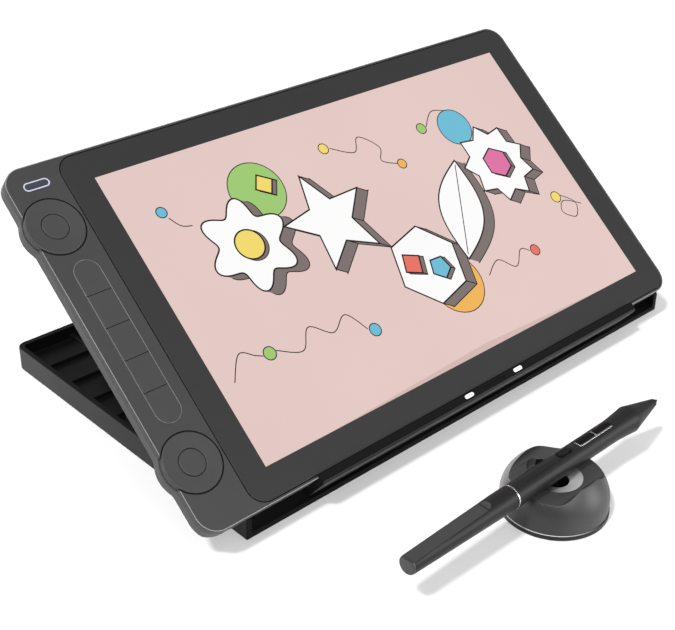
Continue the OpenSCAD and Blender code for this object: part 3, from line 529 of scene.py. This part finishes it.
class Picture:
    """Flat shapes in layers over the glass, gathered into one mesh."""

    def __init__(self):
        self.points, self.faces, self.inks = [], [], []

    def fill(self, outline, ink, layer):
        first = len(self.points)
        self.points += [(x * MM, y * MM, (PICTURE_LIFT + LAYER * layer) * MM) for x, y in outline]
        self.faces.append(list(range(first, first + len(outline))))
        self.inks.append(list(INKS).index(ink))

    def stroke(self, path, layer, width=0.9, closed=False, ink="line"):
        """A line of even width; each bend is mitred."""
        count = len(path)
        left, right = [], []
        for i, (x, y) in enumerate(path):
            before = path[i - 1] if closed or i else path[i]
            after = path[(i + 1) % count] if closed or i < count - 1 else path[i]
            ways = [Vector(b) - Vector(a) for a, b in ((before, path[i]), (path[i], after)) if a != b]
            normals = [Vector((-way.y, way.x)).normalized() for way in ways]
            middle = sum(normals, Vector((0, 0))).normalized()
            reach = width / 2 / max(middle.dot(normals[0]), MITRE_LIMIT)
            left.append((x + middle.x * reach, y + middle.y * reach))
            right.append((x - middle.x * reach, y - middle.y * reach))
        for i in range(count if closed else count - 1):
            j = (i + 1) % count
            self.fill([left[i], right[i], right[j], left[j]], ink, layer)

    def solid(self, outline, depth, layer=1, ink="white", ribs=True):
        """A raised shape: its face in one ink, its sides in shade and a dark outline."""
        far = [(x + depth[0], y + depth[1]) for x, y in outline]
        count = len(outline)
        self.stroke(far, layer, width=1.1, closed=True)
        for i in range(count):
            j = (i + 1) % count
            self.fill([outline[i], outline[j], far[j], far[i]], "side", layer + 1)
            if ribs:
                self.stroke([outline[i], far[i]], layer + 2, width=0.6)
        self.fill(outline, ink, layer + 3)
        self.stroke(outline, layer + 4, closed=True)

    def dot(self, x, y, radius, ink, layer=1):
        outline = ring(x, y, radius)
        self.fill(outline, ink, layer)
        self.stroke(outline, layer + 1, width=0.55, closed=True)

    def bare_mesh(self, name, height=0.0):
        mesh = bpy.data.meshes.new(name)
        mesh.from_pydata([(x, y, z + height * MM) for x, y, z in self.points], [], self.faces)
        mesh.transform(TABLET)
        return mesh

    def make(self):
        mesh = self.bare_mesh("screen_picture")
        for name, colour in INKS.items():
            mesh.materials.append(drawn_ink(f"ink_{name}", colour))
        for face, ink in zip(mesh.polygons, self.inks):
            face.material_index = ink
        return mesh


def polar(x, y, radius, turn=0.0, steps=72):
    """Closed outline from a radius that depends on the angle."""
    angles = [2 * math.pi * i / steps for i in range(steps)]
    return [(x + radius(a) * math.cos(a + turn), y + radius(a) * math.sin(a + turn)) for a in angles]


def ring(x, y, radius, steps=32):
    return polar(x, y, lambda angle: radius, steps=steps)


def star(x, y, outer, inner, corners, turn):
    return polar(x, y, lambda a: outer if round(a * corners / math.pi) % 2 == 0 else inner, turn, 2 * corners)


def curve(path, steps=14):
    """Smooth line through a few points."""
    ends = [path[0]] + path + [path[-1]]
    line = []
    for a, b, c, d in zip(ends, ends[1:], ends[2:], ends[3:]):
        for i in range(steps):
            t = i / steps
            line.append(tuple(
                0.5 * (2 * b[k] + (c[k] - a[k]) * t + (2 * a[k] - 5 * b[k] + 4 * c[k] - d[k]) * t * t
                       + (3 * b[k] - a[k] - 3 * c[k] + d[k]) * t ** 3)
                for k in range(2)
            ))
    return line + [path[-1]]


def leaf(x, y, length, width, turn):
    """Pointed oval."""
    cos, sin = math.cos(turn), math.sin(turn)
    steps = 20
    sides = [(length * (i / steps - 0.5), width / 2 * math.sin(math.pi * i / steps)) for i in range(steps + 1)]
    sides += [(px, -py) for px, py in reversed(sides[1:-1])]
    return [(x + px * cos - py * sin, y + px * sin + py * cos) for px, py in sides]


def draw_picture(width, height):
    art = Picture()
    right, top = width / 2, height / 2
    art.fill([(-right, -top), (right, -top), (right, top), (-right, top)], "paper", 0)
    # Painted faint reflection of the lip along the lower edge
    lip_reflection = [(-0.36 * width, -top), (0.38 * width, -top), (0.04 * width, 0.022 * height - top)]
    art.fill(lip_reflection, "lip_reflection", 1)
    depth = (5.5, -4.0)
    # Coloured discs behind the white shapes
    art.dot(-66, 48, 17, "green", 1)
    art.dot(18, -42, 18, "orange", 1)
    art.dot(84, 44, 12, "blue", 1)
    # White shapes
    art.solid(polar(-88, 22, lambda a: 22.5 + 4.5 * math.cos(6 * a), 0.3, 96), depth, 3, ribs=False)
    art.solid(star(-34, 18, 30, 13.5, 5, 0.42), depth, 3)
    art.solid(polar(8, -26, lambda a: 24.0, 0.25, 6), depth, 3)
    art.solid(leaf(52, -4, 66, 30, 1.05), depth, 3, ribs=False)
    art.solid(star(98, 14, 26, 19.5, 9, 0.2), depth, 3)
    # Coloured pieces on the white shapes
    art.solid(polar(-88, 22, lambda a: 8.5, 0.0, 40), (1.6, -1.2), 8, "yellow", ribs=False)
    art.solid(polar(-2, -22, lambda a: 7.5, 0.4, 4), (2.2, -1.6), 8, "coral")
    art.solid(polar(14, -30, lambda a: 7.0, 0.9, 5), (2.0, -1.5), 8, "blue")
    art.stroke([(37, -30), (67, 22)], 8, width=0.6)
    art.solid(polar(98, 14, lambda a: 10.0, 0.5, 6), (2.0, -1.5), 8, "rose")
    art.solid(polar(-60, 50, lambda a: 6.5, 0.2, 4), (2.0, -1.5), 8, "yellow")
    # Small dots
    for x, y, radius, ink in (
        (-112, -34, 3.6, "green"), (-48, -46, 3.6, "blue"), (-12, 58, 3.2, "yellow"), (60, 50, 3.4, "green"),
        (124, -20, 3.6, "yellow"), (84, -44, 3.4, "coral"), (-124, 54, 3.0, "blue"), (32, 34, 3.0, "orange"),
    ):
        art.dot(x, y, radius, ink, 4)
    # Thin loose lines
    for path in (
        [(-138, -40), (-128, -28), (-120, -32), (-116, -34)],
        [(-108, -34), (-94, -40), (-84, -30), (-72, -38), (-60, -32), (-52, -44)],
        [(-8, 57), (6, 50), (14, 58), (24, 48), (20, 40), (29, 35)],
        [(64, 50), (74, 58), (84, 56)],
        [(128, -20), (136, -28), (130, -36), (122, -30), (128, -24), (140, -30)],
        [(42, -46), (54, -40), (64, -48), (74, -40), (80, -43)],
        [(-122, 50), (-118, 44), (-112, 42)],
    ):
        art.stroke(curve(path), 3, width=0.55)
    return art.make()


picture = bpy.data.objects.new("screen_picture", draw_picture(
    (PANEL_HIGH.x - PANEL_LOW.x) / MM - 2 * PANEL_MARGIN,
    (PANEL_HIGH.y - PANEL_LOW.y) / MM - 2 * PANEL_MARGIN,
))
bpy.context.scene.collection.objects.link(picture)
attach(picture, "tablet")


# Painted highlight lines and painted gap shade on the tablet, and marks on the lip's inlays, in millimetres from
# the screen's centre

# Step along a corner's bend, in degrees
TURN_STEP = 6


def from_centre(node):
    """A node's box in millimetres from the screen's centre."""
    return [(corner - SCREEN_CENTRE) / MM for corner in tilted_box(node)]


def key_strip_highlight():
    """Painted highlight: a light line around the key strip."""
    boxes = [from_centre(f"key_{i}") for i in range(1, 6)]
    low = Vector([min(box[0][i] for box in boxes) for i in range(3)])
    high = Vector([max(box[1][i] for box in boxes) for i in range(3)])
    gap = 0.2
    steps = 24
    radius = (high.x - low.x) / 2 + gap
    middle = (low.x + high.x) / 2
    ends = (high.y + gap - radius, low.y - gap + radius)
    outline = [
        (middle + radius * math.cos(a + turn), y + radius * math.sin(a + turn))
        for y, turn in ((ends[0], 0.0), (ends[1], math.pi))
        for a in [math.pi * i / steps for i in range(steps + 1)]
    ]
    line = Picture()
    line.stroke(outline, 0, width=0.3, closed=True)
    return line.bare_mesh("key_strip_highlight")


def inlay_marks():
    """Three small dots on each inlay."""
    spacing, radius = 1.4, 0.32
    low, high = from_centre("lip_inlays")
    xs = [vertex.co.x / MM for vertex in nodes["lip_inlays"].data.vertices]
    left = [x for x in xs if x < 0]
    right = [x for x in xs if x > 0]
    marks = Picture()
    for group in (left, right):
        middle = (min(group) + max(group)) / 2 - SCREEN_CENTRE.x / MM
        for step in (-spacing, 0, spacing):
            marks.fill(ring(middle + step, (low.y + high.y) / 2, radius, 12), "line", 0)
    return marks.bare_mesh("inlay_marks", high.z)


# Corner radius of the tablet's body
BODY_RADIUS = 11


def frame_edge_highlight():
    """Painted highlight: a bright line on the frame's outer edge, open where the dials reach the edge."""
    low, high = from_centre("front_frame")
    dials = [sum(from_centre(f"dial_{name}"), Vector()) / 2 for name in ("upper", "lower")]
    dial_low, dial_high = from_centre("dial_upper")
    inset, clear = 0.3, 0.8
    reach = (dial_high.x - dial_low.x) / 2 + clear
    radius = BODY_RADIUS - inset
    corners = (
        (high.x - BODY_RADIUS, high.y - BODY_RADIUS, 0), (low.x + BODY_RADIUS, high.y - BODY_RADIUS, 90),
        (low.x + BODY_RADIUS, low.y + BODY_RADIUS, 180), (high.x - BODY_RADIUS, low.y + BODY_RADIUS, 270),
    )
    bends = [
        (x + radius * math.cos(math.radians(turn)), y + radius * math.sin(math.radians(turn)))
        for x, y, start in corners
        for turn in range(start, start + 91, TURN_STEP)
    ]
    outline = []
    for a, b in zip(bends, bends[1:] + bends[:1]):
        steps = max(1, round((Vector(b) - Vector(a)).length))
        outline += [tuple(Vector(a).lerp(Vector(b), i / steps)) for i in range(steps)]
    runs = [[]]
    for point in outline:
        if all((Vector(point) - dial.to_2d()).length > reach for dial in dials):
            runs[-1].append(point)
        elif runs[-1]:
            runs.append([])
    line = Picture()
    for run in runs:
        if len(run) > 1:
            line.stroke(run, 0, width=0.4)
    return line.bare_mesh("frame_edge_highlight")


# Corner radius of the cover glass, and the gaps around it and around a dial
GLASS_RADIUS = 9
GLASS_GAP = 0.35
DIAL_GAP = 0.5
# Layer of the painted gap shade, clear of the frame's and the glass's softened edges
GAP_SHADE_LAYER = 6


def gap_shade_lines():
    """Painted shade: dark lines in the gaps round the glass, but for its right end, and round the dials."""
    low, high = from_centre("cover_glass")
    frame_left = from_centre("front_frame")[0].x
    clear = 0.6
    steps = 120
    reach = GLASS_RADIUS + GLASS_GAP / 2
    bends = [
        (low.x + GLASS_RADIUS + reach * math.cos(math.radians(turn)), y + reach * math.sin(math.radians(turn)))
        for y, start in ((high.y - GLASS_RADIUS, 90), (low.y + GLASS_RADIUS, 180))
        for turn in range(start, start + 91, TURN_STEP)
    ]
    right = high.x - GLASS_RADIUS
    line = Picture()
    line.stroke([(right, bends[0][1]), *bends, (right, bends[-1][1])], GAP_SHADE_LAYER, width=0.5)
    for name in ("upper", "lower"):
        dial_low, dial_high = from_centre(f"dial_{name}")
        middle = (dial_low + dial_high) / 2
        radius = (dial_high.x - dial_low.x + DIAL_GAP) / 2
        outline = ring(middle.x, middle.y, radius, steps)
        first = min(range(steps), key=lambda i: outline[i][0])
        run = [point for point in outline[first:] + outline[:first] if point[0] > frame_left + clear]
        line.stroke(run, GAP_SHADE_LAYER, width=0.7)
    return line.bare_mesh("gap_shade_lines")


place_flat("gap_shade_lines", gap_shade_lines(), moulded("gap_shade_lines", (5, 5, 5), 0.7, shine=0.1), "tablet")
place_flat("frame_edge_highlight", frame_edge_highlight(), moulded("frame_edge_highlight", (136, 136, 138), 0.4), "tablet")
place_flat("key_strip_highlight", key_strip_highlight(), moulded("key_strip_highlight", (122, 122, 124), 0.4), "tablet")
place_flat("inlay_marks", inlay_marks(), moulded("inlay_marks", (150, 150, 152), 0.5), "plate")


# Floor, light and background

FLOOR_SIZE = 8.0
ROOM_LIGHT = 0.367
SUNS = {
    # name: direction towards it, strength, width in degrees, whether it casts shadows
    "key_light": ((-13.6, -1.8, 22.0), 1.8, 7.0, True),
    "front_fill": ((-0.6, -1.65, 1.9), 2.05, 36.0, False),
}
CARDS = {
    # name: place, aim, size, watts; these show in reflections only
    "back_card": ((-0.5, 1.7, 1.3), (-0.03, -0.15, 0.02), 1.6, 25),
    "left_card": ((-2.0, 0.6, 0.35), (-0.03, -0.15, 0.05), 1.0, 8),
    "right_card": ((1.1, -1.7, 0.5), (-0.03, -0.18, 0.03), 1.2, 18),
}


def make_floor():
    mesh = bpy.data.meshes.new("floor")
    half = FLOOR_SIZE / 2
    corners = [(-half, -half, 0), (half, -half, 0), (half, half, 0), (-half, half, 0)]
    mesh.from_pydata(corners, [], [(0, 1, 2, 3)])
    floor = bpy.data.objects.new("floor", mesh)
    bpy.context.scene.collection.objects.link(floor)
    paper = moulded("floor_paper", (240, 240, 240), 0.8, shine=0.0, grain=400, relief=0.0, cloud=0.004)
    put_on(floor, paper)


def make_sun(name, towards, strength, width, shadows):
    sun = bpy.data.objects.new(name, bpy.data.lights.new(name, "SUN"))
    sun.data.energy = strength
    sun.data.angle = math.radians(width)
    sun.data.use_shadow = shadows
    sun.rotation_euler = Vector(towards).to_track_quat("Z", "Y").to_euler()
    bpy.context.scene.collection.objects.link(sun)


def make_card(name, place, aim, size, watts):
    card = bpy.data.objects.new(name, bpy.data.lights.new(name, "AREA"))
    card.data.shape = "DISK"
    card.data.size = size
    card.data.energy = watts
    card.visible_diffuse = False
    card.visible_camera = False
    card.location = place
    card.rotation_euler = (Vector(aim) - Vector(place)).to_track_quat("-Z", "Y").to_euler()
    bpy.context.scene.collection.objects.link(card)


def make_world():
    world = bpy.data.worlds.new("studio")
    world.use_nodes = True
    tree = world.node_tree
    room = tree.nodes["Background"]
    room.inputs["Color"].default_value = (ROOM_LIGHT, ROOM_LIGHT, ROOM_LIGHT, 1)
    white = tree.nodes.new("ShaderNodeBackground")
    white.inputs["Color"].default_value = (1, 1, 1, 1)
    path = tree.nodes.new("ShaderNodeLightPath")
    mix = tree.nodes.new("ShaderNodeMixShader")
    tree.links.new(path.outputs["Is Camera Ray"], mix.inputs["Fac"])
    tree.links.new(room.outputs["Background"], mix.inputs[1])
    tree.links.new(white.outputs["Background"], mix.inputs[2])
    tree.links.new(mix.outputs["Shader"], tree.nodes["World Output"].inputs["Surface"])
    bpy.context.scene.world = world


make_floor()
for name, values in SUNS.items():
    make_sun(name, *values)
for name, values in CARDS.items():
    make_card(name, *values)
make_world()
bpy.context.scene.view_settings.view_transform = "Standard"
